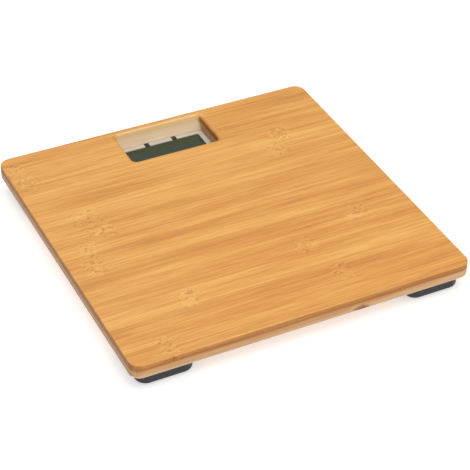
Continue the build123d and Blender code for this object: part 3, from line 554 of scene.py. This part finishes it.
# %% Metal finishes
brushed, given, result = new_group(
    "brushed_metal",
    [("Place", "Vector", (0, 0, 0)), ("Lines", "Float", 1.0)],
    [("Line", "Float"), ("Cloud", "Float")],
)
lines = noise(brushed, stretch(brushed, given["Place"], (0.12, 6.0, 6.0)), 2.0, 0.6)
fleck = noise(brushed, stretch(brushed, given["Place"], (2.5, 2.5, 2.5)), 2.0, 0.6)
feed(brushed, result["Line"], calc(brushed, "ADD", calc(brushed, "MULTIPLY", lines, given["Lines"]),
     calc(brushed, "MULTIPLY", fleck, calc(brushed, "SUBTRACT", 1.0, given["Lines"]))))
clouds = stretch(brushed, given["Place"], (0.35, 0.35, 0.35))
feed(brushed, result["Cloud"], noise(brushed, clouds, 3.0, 0.6))


def metal(name, colour, stain, roughness, lines):
    material, tree, shader = new_material(name)
    skin = use_group(tree, brushed, Place=millimetres(tree), Lines=lines)
    feed(tree, shader.inputs["Base Color"],
         blend_colours(tree, ease(tree, skin["Cloud"], 0.45, 0.75, 0.0, 0.6), colour, stain))
    shader.inputs["Metallic"].default_value = 1.0
    rough = calc(tree, "MULTIPLY", calc(tree, "SUBTRACT", skin["Line"], 0.5), 0.4)
    feed(tree, shader.inputs["Roughness"], calc(tree, "ADD", roughness, rough))
    raise_bump(tree, shader, skin["Line"], 0.00001)
    return material


# Each row: colour, stain, roughness, share of rolled lines against specks.
METALS = {
    "zinc_screw": ((0.62, 0.63, 0.64, 1.0), (0.50, 0.50, 0.42, 1.0), 0.30, 0.2),
    "black_screw": ((0.07, 0.07, 0.075, 1.0), (0.10, 0.09, 0.08, 1.0), 0.38, 0.2),
    "cell_steel": ((0.60, 0.59, 0.57, 1.0), (0.48, 0.46, 0.42, 1.0), 0.34, 1.0),
    "cell_can": ((0.66, 0.66, 0.65, 1.0), (0.55, 0.54, 0.52, 1.0), 0.24, 0.7),
    "nickel_contact": ((0.70, 0.67, 0.60, 1.0), (0.6, 0.55, 0.45, 1.0), 0.22, 0.8),
}
for name, values in METALS.items():
    finish[name] = metal(name, *values)
print("metal finishes:", len(METALS))

# %% [markdown]
# ## The display
# A clear window lies over the liquid crystal glass. When the scale is off the glass looks dark
# green-grey, because its polariser swallows the light. The window is real glass to the
# renderer, so what the eye sees is the dark face below and the pale pocket wall mirrored in it.
# Light that has passed a clear body reaches the face only weakly here, so the face is given a faint
# green glow of painted light, standing in for what its reflector film would scatter back.

# %% Window and liquid crystal
CLEAR_TINT = (0.96, 0.97, 0.96, 1.0)
SMEAR_TINT = (0.85, 0.86, 0.84, 1.0)
window, tree, shader = new_material("clear_window")
skin = use_group(tree, moulded, Place=millimetres(tree), Grain=1.2)
dust_share = calc(tree, "MULTIPLY", skin["Dust"], 0.2)
feed(tree, shader.inputs["Base Color"], blend_colours(tree, dust_share, CLEAR_TINT, SMEAR_TINT))
feed(tree, shader.inputs["Roughness"], calc(tree, "MULTIPLY", skin["Gloss"], 0.05))
shader.inputs["Transmission Weight"].default_value = 1.0
shader.inputs["IOR"].default_value = 1.49
raise_bump(tree, shader, skin["Gloss"], 0.00001, 0.3)
finish["clear_window"] = window

LCD_PAINTED_GLOW = (0.028, 0.039, 0.019, 1.0)
lcd, tree, shader = new_material("lcd_face")
skin = use_group(tree, moulded, Place=millimetres(tree), Grain=0.25)
tint = blend_colours(tree, skin["Gloss"], linear(78, 92, 72), linear(92, 104, 78))
feed(tree, shader.inputs["Base Color"], tint)
dulled = calc(tree, "MULTIPLY", skin["Dust"], 0.06)
feed(tree, shader.inputs["Roughness"], calc(tree, "ADD", 0.18, dulled))
shader.inputs["Coat Weight"].default_value = 0.3
shader.inputs["Coat Roughness"].default_value = 0.05
raise_bump(tree, shader, skin["Height"], 0.000005, 0.5)
# painted light: a faint green glow on the face stands in for light that the window keeps from it
shader.inputs["Emission Color"].default_value = LCD_PAINTED_GLOW
shader.inputs["Emission Strength"].default_value = 1.0
finish["lcd_face"] = lcd
print("display finishes ready")

# %% [markdown]
# ## Dress the parts
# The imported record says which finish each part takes, so one loop hands them out.
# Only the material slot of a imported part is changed, never its mesh.

# %% Hand out the finishes
for row in frame["record"]["subparts"]:
    part = frame["nodes"][row["node"]]
    for holder in part.material_slots:
        holder.material = finish[row["material_slot"]]

# %% [markdown]
# ## Beads of sealant
# Where a sensor lead leaves its foot, the factory presses a bead of silicone into the groove, so
# that a pull on the lead stops there. A squashed sphere is a good start: a cut takes off the part
# that would be hidden in the groove, and small random moves that are then smoothed make it look
# squeezed from a nozzle. The groove's direction comes from the boxes of the shoe and of the lead.

# %% Seal the leads
BEAD_DISTANCE = 0.0285
BEAD_SIZE = (0.0042, 0.0015, 0.0010)
groove_mouth = under_low[2]


def middle_of(node):
    low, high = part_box(node)
    return Vector([(a + b) / 2 for a, b in zip(low, high)])


def lead_direction(corner):
    start = middle_of("foot_shoe_" + corner)
    low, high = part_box("sensor_lead_" + corner)
    end_x = low[0] if start.x > 0 else high[0]
    end_y = high[1] if start.y < 0 else (low[1] + high[1]) / 2
    return start, Vector((end_x - start.x, end_y - start.y, 0.0)).normalized()


def squeeze_bead(corner, seed):
    start, direction = lead_direction(corner)
    place = start + direction * BEAD_DISTANCE
    bpy.ops.object.select_all(action="DESELECT")
    bpy.ops.mesh.primitive_uv_sphere_add(
        segments=40, ring_count=20, radius=1.0, location=(place.x, place.y, groove_mouth + 0.0003),
        rotation=(0.0, 0.0, math.atan2(direction.y, direction.x)), scale=BEAD_SIZE)
    bead = bpy.context.object
    bead.name = "sealant_bead_" + corner
    bpy.ops.object.transform_apply(location=True, rotation=True, scale=True)
    bpy.ops.object.mode_set(mode="EDIT")
    bpy.ops.mesh.select_all(action="SELECT")
    bpy.ops.mesh.bisect(plane_co=(place.x, place.y, groove_mouth + 0.0009), plane_no=(0.0, 0.0, 1.0),
                        use_fill=True, clear_outer=True)
    bpy.ops.mesh.select_all(action="SELECT")
    bpy.ops.transform.vertex_random(offset=0.00016, seed=seed)
    bpy.ops.mesh.vertices_smooth(factor=0.5, repeat=3)
    bpy.ops.mesh.normals_make_consistent(inside=False)
    bpy.ops.mesh.faces_shade_smooth()
    bpy.ops.object.mode_set(mode="OBJECT")
    bead.data.materials.append(finish["gauge_seal"])
    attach(bead, "platform")
    print(bead.name, len(bead.data.polygons), "faces")


for seed, corner in enumerate(("front_left", "front_right", "rear_left", "rear_right")):
    squeeze_bead(corner, seed + 1)

# %% [markdown]
# ## Marks for the battery cap
# A cap that locks by a part turn needs marks: a pointer on the cap, and on the cover a ring where
# the cap is free and a filled dot where it is locked. On a moulded part they stand a little proud.
# Each is a short cylinder with its lower edge bevelled; the ring is inset and its middle sunk.

# %% Mould the marks
MARK_HEIGHT = 0.00025
MARK_RADIUS = 0.0013
MARK_DISTANCE = 0.0177
POINTER_DISTANCE = 0.0112
cap_middle = middle_of("battery_cap")
cover_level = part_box("bottom_cover")[0][2]


def mould_mark(name, corners, distance, angle, body, sunk=False):
    turn = math.radians(angle)
    place = cap_middle + Vector((math.cos(turn), math.sin(turn), 0.0)) * distance
    bpy.ops.object.select_all(action="DESELECT")
    bpy.ops.mesh.primitive_cylinder_add(
        vertices=corners, radius=MARK_RADIUS, depth=2 * MARK_HEIGHT,
        location=(place.x, place.y, cover_level), rotation=(0.0, 0.0, turn - math.pi / 2))
    mark = bpy.context.object
    mark.name = name
    bpy.ops.object.transform_apply(location=True, rotation=True, scale=True)
    bpy.ops.object.mode_set(mode="EDIT")
    bpy.ops.mesh.select_all(action="DESELECT")
    bpy.ops.object.mode_set(mode="OBJECT")
    for face in mark.data.polygons:
        face.select = face.normal.z < -0.9
    bpy.ops.object.mode_set(mode="EDIT")
    bpy.ops.mesh.bevel(offset=0.0001, segments=3, affect="EDGES")
    if sunk:
        bpy.ops.mesh.select_all(action="DESELECT")
        bpy.ops.object.mode_set(mode="OBJECT")
        for face in mark.data.polygons:
            face.select = face.normal.z < -0.99 and len(face.vertices) == corners
        bpy.ops.object.mode_set(mode="EDIT")
        bpy.ops.mesh.inset(thickness=0.0004, depth=0.0)
        bpy.ops.transform.translate(value=(0.0, 0.0, 0.8 * MARK_HEIGHT))
    bpy.ops.object.mode_set(mode="OBJECT")
    mark.data.materials.append(finish["black_case"])
    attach(mark, body)
    print(name, "at", [round(1000 * value, 1) for value in place], "mm")


mould_mark("cap_pointer", 3, POINTER_DISTANCE, 90.0, "battery_cap")
mould_mark("locked_dot", 40, MARK_DISTANCE, 90.0, "platform")
mould_mark("free_ring", 40, MARK_DISTANCE, 50.0, "platform", sunk=True)
